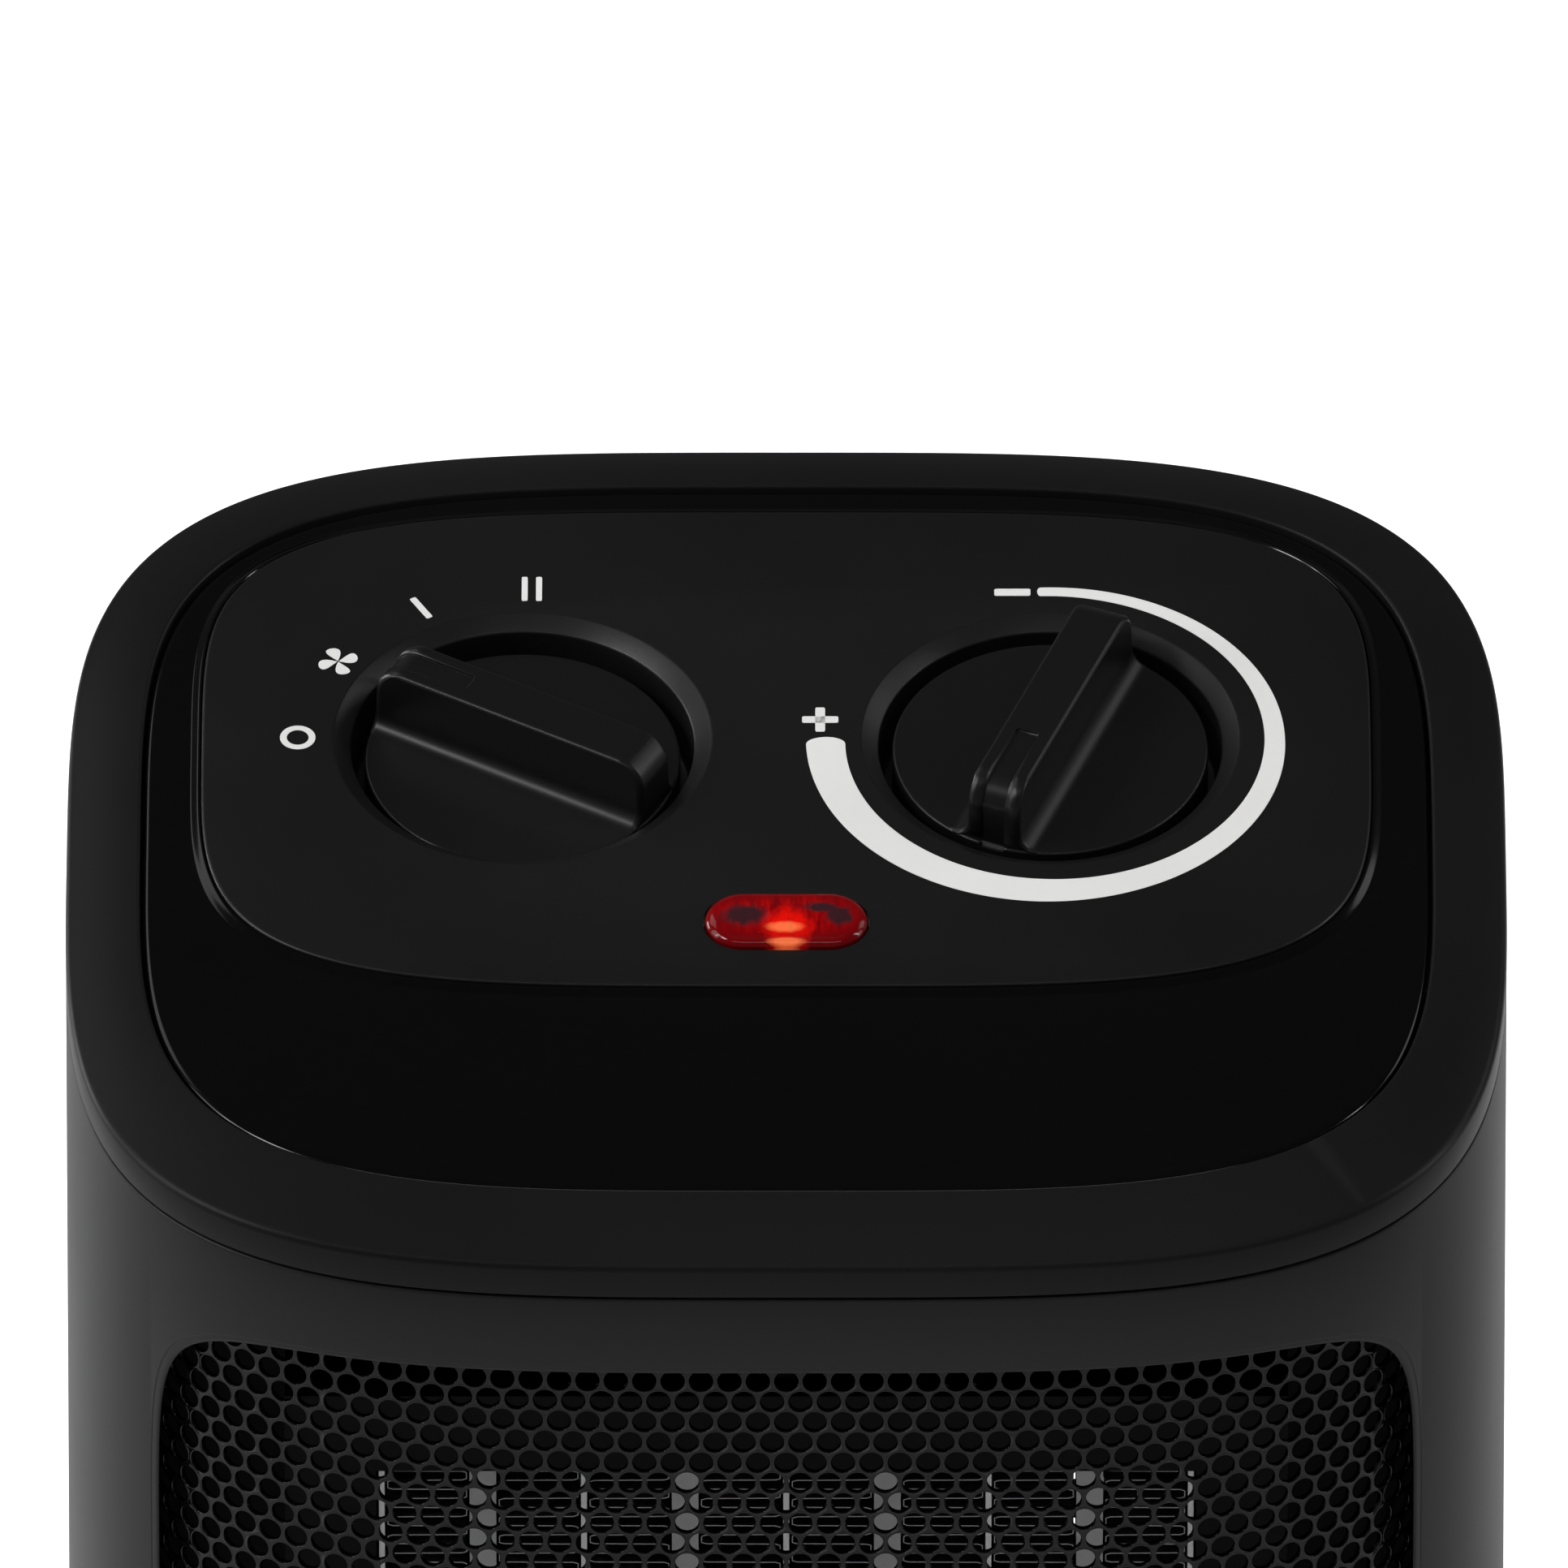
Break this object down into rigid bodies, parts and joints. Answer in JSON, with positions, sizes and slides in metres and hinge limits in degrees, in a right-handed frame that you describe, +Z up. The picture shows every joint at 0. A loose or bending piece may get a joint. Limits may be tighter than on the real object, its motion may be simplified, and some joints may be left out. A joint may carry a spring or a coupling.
{
  "type": "ceramic space heater",
  "caption": "Small upright ceramic fan heater: rounded-square body, top sloping to the front, two bar knobs, red pilot lamp, perforated front grille, rear hand grip.",
  "frame": {"origin": "on the floor, at the middle of the object's bounding box", "axes": "+Z up, the window and grille face -Y, +X to the right seen from the front"},
  "size_m": [0.1916, 0.1622, 0.2394],
  "materials": {
    "body_black": "satin moulded plastic, fine even texture",
    "satin_black": "smooth satin moulded plastic",
    "gloss_black": "high-gloss moulded plastic",
    "frame_black": "matt heat-resistant plastic",
    "enamel_black": "glossy black enamel on punched steel sheet",
    "red_lens": "clear red polycarbonate",
    "clear_glass": "clear glass neon bulb",
    "zinc_steel": "zinc-plated steel",
    "aluminium": "plain aluminium",
    "brass": "plain brass",
    "copper_wire": "enamelled copper winding",
    "bakelite": "dark brown phenolic moulding",
    "ceramic": "unglazed steatite",
    "rubber": "matt black rubber",
    "plunger_white": "natural nylon"
  },
  "bodies": {
    "housing": {"base_plate": "body_black", "body_shell": "body_black", "contact_strip_1": "zinc_steel", "contact_strip_2": "zinc_steel", "contact_strip_3": "zinc_steel", "contact_strip_4": "zinc_steel", "contact_strip_5": "zinc_steel", "control_panel": "satin_black", "cord_gland": "rubber", "fan_shroud": "frame_black", "fin_bank_1": "aluminium", "fin_bank_2": "aluminium", "fin_bank_3": "aluminium", "fin_bank_4": "aluminium", "fin_bank_5": "aluminium", "fin_bank_6": "aluminium", "fin_bank_7": "aluminium", "fin_bank_8": "aluminium", "foot_front_left": "rubber", "foot_front_right": "rubber", "foot_rear_left": "rubber", "foot_rear_right": "rubber", "front_grille": "enamel_black", "heater_frame": "frame_black", "lamp_lens": "red_lens", "motor_coil": "copper_wire", "motor_core": "zinc_steel", "motor_mount": "zinc_steel", "motor_screw_left": "zinc_steel", "motor_screw_right": "zinc_steel", "neon_lamp": "clear_glass", "ptc_bar_1": "aluminium", "ptc_bar_2": "aluminium", "ptc_bar_3": "aluminium", "ptc_bar_4": "aluminium", "rear_bearing": "zinc_steel", "rear_cover": "body_black", "rear_screw_low_left": "zinc_steel", "rear_screw_low_right": "zinc_steel", "rear_screw_top_left": "zinc_steel", "rear_screw_top_right": "zinc_steel", "rotary_switch": "bakelite", "terminal_1": "brass", "terminal_2": "brass", "thermal_cutout": "bakelite", "thermostat": "ceramic", "tip_switch": "bakelite", "top_insert": "gloss_black", "top_rim": "satin_black"},
    "mode_knob": {"mode_knob": "satin_black", "mode_shaft": "zinc_steel"},
    "thermostat_knob": {"thermostat_knob": "satin_black", "thermostat_shaft": "zinc_steel"},
    "fan": {"fan_impeller": "frame_black", "motor_shaft": "zinc_steel", "motor_rotor": "zinc_steel"},
    "plunger": {"tip_plunger": "plunger_white"}
  },
  "joints": [
    {"name": "mode_turn", "type": "hinge", "parent": "housing", "child": "mode_knob", "pos_m": [-0.0349, 0.01911, 0.22585], "axis": [0, -0.134, 0.991], "range_deg": [-60, 30]},
    {"name": "thermostat_turn", "type": "hinge", "parent": "housing", "child": "thermostat_knob", "pos_m": [0.0349, 0.01888, 0.22754], "axis": [0, -0.134, 0.991], "range_deg": [-68, 202]},
    {"name": "fan_spin", "type": "hinge", "parent": "housing", "child": "fan", "pos_m": [0, -0.03695, 0.11273], "axis": [0, 1, 0], "continuous": true},
    {"name": "plunger_slide", "type": "slide", "parent": "housing", "child": "plunger", "axis": [0, 0, 1], "range_m": [-0.004, 0], "stiffness_N_per_m": 120, "springref_m": -0.006}
  ]
}
